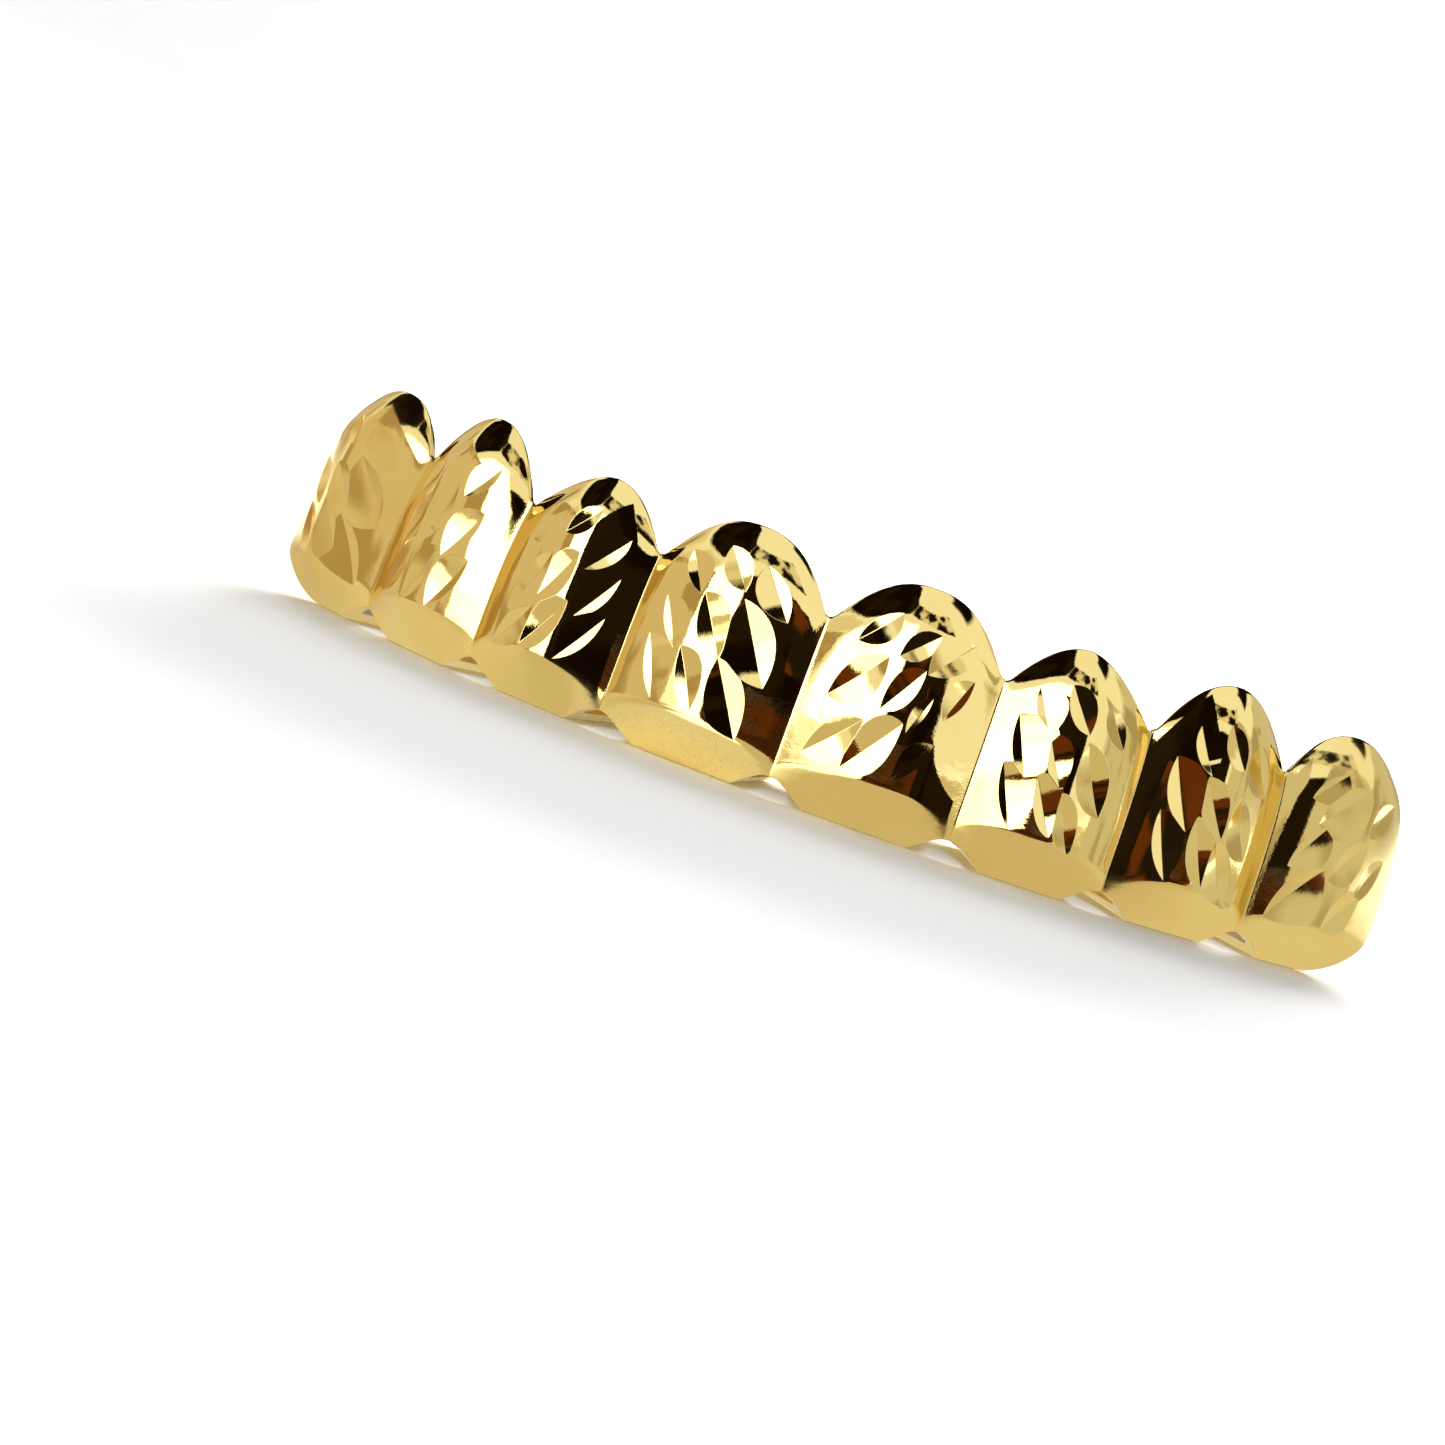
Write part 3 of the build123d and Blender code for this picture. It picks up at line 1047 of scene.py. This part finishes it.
def make_cut_metal():
    """Bright leaves with the fine lines of the wheel, redder at the wearer's right end."""
    metal, tree, shader = new_metal("diamond_cut_gold")
    redness = between_node(tree, mark_node(tree, "run"), red_run, end_cut_patches, cut_patches)
    normal, _ = skinned(tree, cut_swell, cut_grain, cut_grain_scale)
    rough = weighted_sum(tree, polished_rough, (mark_node(tree, "soft_end"), cut_end_rough))
    feed(shader, {"Base Color": toned(tree, redness), "Normal": normal, "Roughness": rough})
    return metal


shell_piece = make_shell(make_face_metal(), make_cut_metal())
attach(shell_piece, "root")
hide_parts("tooth_cover")


# Floor, light and the cards that the polished metal mirrors, in millimetres round the object

FLOOR_WHITE = (0.94, 0.94, 0.94, 1.0)
FLOOR_GLOW = (0.15, 0.17, 0.22, 1.0)
BACKDROP_GLOW = (0.12, 0.12, 0.12, 1.0)
BLACK = (0.0, 0.0, 0.0, 1.0)
DARK = ((0.006, 0.003, 0.001, 1.0), (0.014, 0.008, 0.003, 1.0))
DUSK = ((0.01, 0.006, 0.003, 1.0), (0.8, 0.75, 0.62, 1.0))
WINDOW = ((4.0, 4.0, 4.0, 1.0), (3.0, 3.0, 3.0, 1.0))
CREAM = ((0.95, 0.93, 0.86, 1.0), (0.78, 0.73, 0.62, 1.0))
GREY = ((0.66, 0.62, 0.54, 1.0), (0.44, 0.38, 0.28, 1.0))
WARM = ((0.68, 0.58, 0.44, 1.0), (0.44, 0.32, 0.18, 1.0))
SATIN = ((0.66, 0.62, 0.53, 1.0), (0.48, 0.42, 0.31, 1.0))
BROWN = ((0.015, 0.01, 0.005, 1.0), (0.12, 0.032, 0.006, 1.0))
BRIGHT_FLOOR = ((3.4, 3.3, 3.0, 1.0), (2.6, 2.5, 2.2, 1.0))
SHADE = ((0.76, 0.69, 0.55, 1.0), (0.64, 0.56, 0.43, 1.0))

# Height of the floor cards, and the sky cards' mesh in degrees
floor_card_height = 0.05
card_mesh = 1.5

# Distance behind the object, in metres, over which the floor begins to glow
glow_span = (0.15, 0.45)

# Noise levels between which a card goes from one tint to the other
tint_span = (0.46, 0.54)


def compass(azimuth, elevation, distance):
    """Give a place seen from the object: azimuth 0 is in front, 90 to the wearer's left."""
    a, e = radians(azimuth), radians(elevation)
    return Vector((sin(a) * cos(e), -cos(a) * cos(e), sin(e))) * distance


def floor_paint():
    """White paint that glows a little far behind the object, and where the gold mirrors it."""
    paint, tree = new_paint("floor_paint")
    behind = new_node(tree, "ShaderNodeSeparateXYZ", {0: object_place(tree)}, "Y")
    glow = colour_mix(tree, between_node(tree, behind, glow_span), BLACK, BACKDROP_GLOW)
    glow = colour_mix(tree, new_node(tree, "ShaderNodeLightPath", output="Is Glossy Ray"), glow, FLOOR_GLOW)
    looks = {
        "Base Color": FLOOR_WHITE,
        "Roughness": 0.9,
        "Specular IOR Level": 0.0,
        "Emission Color": glow,
        "Emission Strength": 1.0,
    }
    feed(tree.nodes["Principled BSDF"], looks)
    return paint


def card_side(tree, tints, patch_size):
    """Shine in patches of two tints, of about a size in millimetres. Without tints, let light through."""
    if not tints:
        return new_node(tree, "ShaderNodeBsdfTransparent")
    share = between_node(tree, noise_node(tree, 0.5 / (patch_size * MM)), tint_span)
    return new_node(tree, "ShaderNodeEmission", {"Color": colour_mix(tree, share, *tints)})


def card_paint(name, sides, patch_size, fades):
    """Mix two kinds of light: by the card's mark if it fades, or else by which side is seen."""
    paint, tree = new_paint(name + "_paint")
    tree.nodes.clear()
    if fades:
        share = mark_node(tree, "solid")
    else:
        share = new_node(tree, "ShaderNodeNewGeometry", output="Backfacing")
    first, second = (card_side(tree, tints, patch_size) for tints in sides)
    mix = new_node(tree, "ShaderNodeMixShader", {0: share, 1: first, 2: second})
    feed(tree.nodes.new("ShaderNodeOutputMaterial"), {"Surface": mix})
    return paint


def put_card(name, points, faces, sides, patch_size, solid=None):
    """Set up a card that only the gold mirrors. One that fades has a mark of how solid its points are."""
    card = mesh_object(name, points, faces, card_paint(name, sides, patch_size, bool(solid)))
    if solid:
        card.data.attributes.new("solid", "FLOAT", "POINT").data.foreach_set("value", solid)
    card.visible_camera = False
    card.visible_diffuse = False
    card.visible_shadow = False
    card.visible_transmission = False
    card.visible_volume_scatter = False


def sky_card(name, columns, tints, soft=3.0, distance=300.0, patch_size=60.0):
    """Hang a card in the sky from columns of azimuth, lowest and highest elevation in degrees."""
    azimuths, lows, highs = (np.array(values, float) for values in zip(*columns))
    wide = int((azimuths[-1] - azimuths[0]) / card_mesh) + 2
    high = int((highs - lows).max() / card_mesh) + 2
    points = []
    solid = []
    for a in np.linspace(azimuths[0], azimuths[-1], wide):
        low = np.interp(a, azimuths, lows)
        top = np.interp(a, azimuths, highs)
        from_end = min(a - azimuths[0], azimuths[-1] - a) * cos(radians((low + top) / 2))
        for e in np.linspace(low, top, high):
            points.append(compass(a, e, distance) * MM)
            solid.append(min(1.0, from_end / soft, (e - low) / soft, (top - e) / soft))
    faces = []
    for column in range(wide - 1):
        for row in range(high - 1):
            first = column * high + row
            faces.append((first, first + 1, first + high + 1, first + high))
    put_card(name, points, faces, (None, tints), patch_size, solid)


def floor_card(name, corners, tints, patch_size):
    """Lay a card just above the floor, from corners in millimetres."""
    points = [Vector((x, y, floor_card_height)) * MM for x, y in corners]
    solid = [1.0] * len(points)
    put_card(name, points, [tuple(range(len(points)))], (None, tints), patch_size, solid)


def near_card(name, start, end, heights, sides, patch_size=4.0):
    """Stand a low card over two places on the floor.

    Its heights are its foot and its top at each place. The first of its sides is the left one for someone
    looking along it.
    """
    low, start_top, end_top = heights
    corners = [(*start, low), (*start, start_top), (*end, end_top), (*end, low)]
    points = [Vector(corner) * MM for corner in corners]
    put_card(name, points, [(0, 1, 2, 3)], sides, patch_size)


def sweep():
    """A floor that curves up into a backdrop."""
    half_width = 700.0
    floor_front = -600.0
    floor_back = 500.0
    bend = 250.0
    top = 800.0
    profile = [(floor_front, 0.0), (floor_back, 0.0)]
    for turn in np.linspace(0, pi / 2, SWEEP_STEPS)[1:]:
        profile.append((floor_back + bend * sin(turn), bend * (1 - cos(turn))))
    profile.append((floor_back + bend, top))
    points = [Vector((x, y, z)) * MM for y, z in profile for x in (-half_width, half_width)]
    faces = [(2 * k, 2 * k + 1, 2 * k + 3, 2 * k + 2) for k in range(len(profile) - 1)]
    floor = mesh_object("floor_sweep", points, faces, floor_paint())
    floor.data.shade_smooth()


def soft_box(name, azimuth, elevation, distance, size, power):
    data = bpy.data.lights.new(name, "AREA")
    data.shape = "RECTANGLE"
    data.size = size[0] * MM
    data.size_y = size[1] * MM
    data.energy = power
    lamp = bpy.data.objects.new(name, data)
    bpy.context.scene.collection.objects.link(lamp)
    place = compass(azimuth, elevation, distance) * MM
    lamp.matrix_world = Matrix.Translation(place) @ place.to_track_quat("Z", "Y").to_matrix().to_4x4()
    lamp.visible_glossy = False
    lamp.visible_camera = False


def set_world(lighting, mirrored):
    """Light evenly from all round, and let the gold mirror that light in a tint of its own."""
    world = bpy.data.worlds.new("studio")
    world.use_nodes = True
    bpy.context.scene.world = world
    tree = world.node_tree
    is_mirrored = new_node(tree, "ShaderNodeLightPath", output="Is Glossy Ray")
    feed(tree.nodes["Background"], {"Color": colour_mix(tree, is_mirrored, lighting, mirrored)})


sweep()
set_world((0.61, 0.61, 0.61, 1.0), (0.97, 0.97, 0.97, 1.0))
soft_box("top_box", -170, 50, 600, (400, 300), 1.5)
soft_box("low_box", 175, 15, 560, (300, 130), 6.5)

# Dark gap between the windows and the ceiling, from the far left over the top and thinly to the right
dark_gap = [(-124, 38, 66), (-108, 36, 74), (-90, 34, 76), (-62, 33, 74), (-45, 44, 70), (-28, 52, 65)]
thin_gap = [(-30, 52, 66), (-10, 50, 66), (10, 50, 64), (32, 46, 62), (60, 40, 60)]
sky_card("dark_gap", dark_gap, DARK, soft=1.0)
sky_card("thin_gap", thin_gap, DUSK, soft=1.0, patch_size=40.0)

# What stands round the object, from front to back
front_window = [(-58, -1, 24), (-50, -1, 31), (-44, -1, 36), (-30, -1, 44), (-3, -1, 46)]
dark_front = [(-3, -1, 34), (5, -1, 36), (26, -1, 38), (44, -1, 32), (50, -1, 22)]
right_grey = [(72, -1, 20), (96, -1, 30), (118, -1, 46), (165, -1, 40)]
behind = [(86, 50, 72), (130, 50, 72), (166, 8, 72), (200, 8, 72), (230, 45, 72), (262, 45, 72)]
sky_card("front_window", front_window, WINDOW, soft=1.0)
sky_card("dark_front", dark_front, DARK, soft=1.0)
sky_card("left_cream", [(-112, -1, 34), (-80, -1, 34), (-58, -1, 30)], CREAM, soft=2.0, distance=320.0)
sky_card("left_warm", [(-160, -1, 40), (-130, -1, 36), (-106, -1, 34)], WARM, soft=6.0, distance=330.0)
sky_card("right_grey", right_grey, GREY, soft=6.0)
sky_card("behind", behind, DARK)

# What lies on the floor
brown_floor = [(0, -26), (26, -24), (75, -60), (262, -228), (210, -310), (-20, -330)]
bright_near = [(-30, -26), (-11.8, -26), (-10.5, -13), (0, -12.5), (0, -26)]
bright_far = [(-20, -330), (-230, -330), (-44, -50)]
left_shade = [(-120, -50), (-45, -50), (-31, -26.2), (-12, -26.2), (-8, 30), (-120, 30)]
right_shade = [(0, 30), (0, -25.8), (26, -23.8), (75, -59.8), (120, -90), (120, 30)]
floor_card("brown_floor", brown_floor, BROWN, 25.0)
floor_card("bright_floor", bright_near + bright_far, BRIGHT_FLOOR, 30.0)
floor_card("left_shade", left_shade, SHADE, 25.0)
floor_card("right_shade", right_shade, SHADE, 25.0)

# Low cards beside the grooves, each for one neighbour only
near_card("third_dark", (-8.9, -8.3), (-15.0, -19.8), (0.1, 18.0, 18.0), (None, DARK))
near_card("fifth_dark", (9.1, -7.7), (26.4, -27.2), (0.1, 2.9, 8.0), (None, DARK))
near_card("sixth_dark", (8.0, -20.0), (15.0, -20.0), (7.0, 18.0, 18.0), (BROWN, None))
near_card("seventh_dark", (15.9, -5.4), (24.0, -18.5), (0.1, 20.0, 20.0), (DARK, None))
near_card("seventh_brown", (17.0, -6.4), (22.1, -14.8), (0.1, 8.5, 8.5), (BROWN, None), 2.5)
near_card("eighth_cream", (22.7, -2.0), (24.4, -9.5), (0.1, 14.0, 14.0), (SATIN, None))
near_card("eighth_satin", (27.0, -9.0), (50.0, 0.0), (0.1, 22.0, 22.0), (SATIN, None))
near_card("second_warm", (-33.0, 2.0), (-25.0, -22.0), (0.1, 18.0, 18.0), (WARM, None))


# Camera, fitted to the photo: where it stands in millimetres, and how it looks and rolls in degrees

CAMERA_PLACE = (27.2, -202.92, 23.83)
CAMERA_AZIMUTH = -8.811
CAMERA_ELEVATION = -6.126
CAMERA_ROLL = 19.488
CAMERA_LENS = 104.2


def set_camera():
    data = bpy.data.cameras.new("photo_camera")
    data.lens = CAMERA_LENS
    data.clip_start = 0.005
    data.clip_end = 5.0
    a, e, r = radians(CAMERA_AZIMUTH), radians(CAMERA_ELEVATION), radians(CAMERA_ROLL)
    forward = Vector((sin(a) * cos(e), cos(a) * cos(e), sin(e)))
    level_right = forward.cross(Vector((0, 0, 1))).normalized()
    level_up = level_right.cross(forward)
    right = level_right * cos(r) + level_up * sin(r)
    up = level_up * cos(r) - level_right * sin(r)
    camera = bpy.data.objects.new("photo_camera", data)
    bpy.context.scene.collection.objects.link(camera)
    turn = Matrix((right, up, -forward)).transposed().to_4x4()
    camera.matrix_world = Matrix.Translation(Vector(CAMERA_PLACE) * MM) @ turn
    bpy.context.scene.camera = camera


set_camera()
bpy.context.scene.view_settings.view_transform = "Standard"
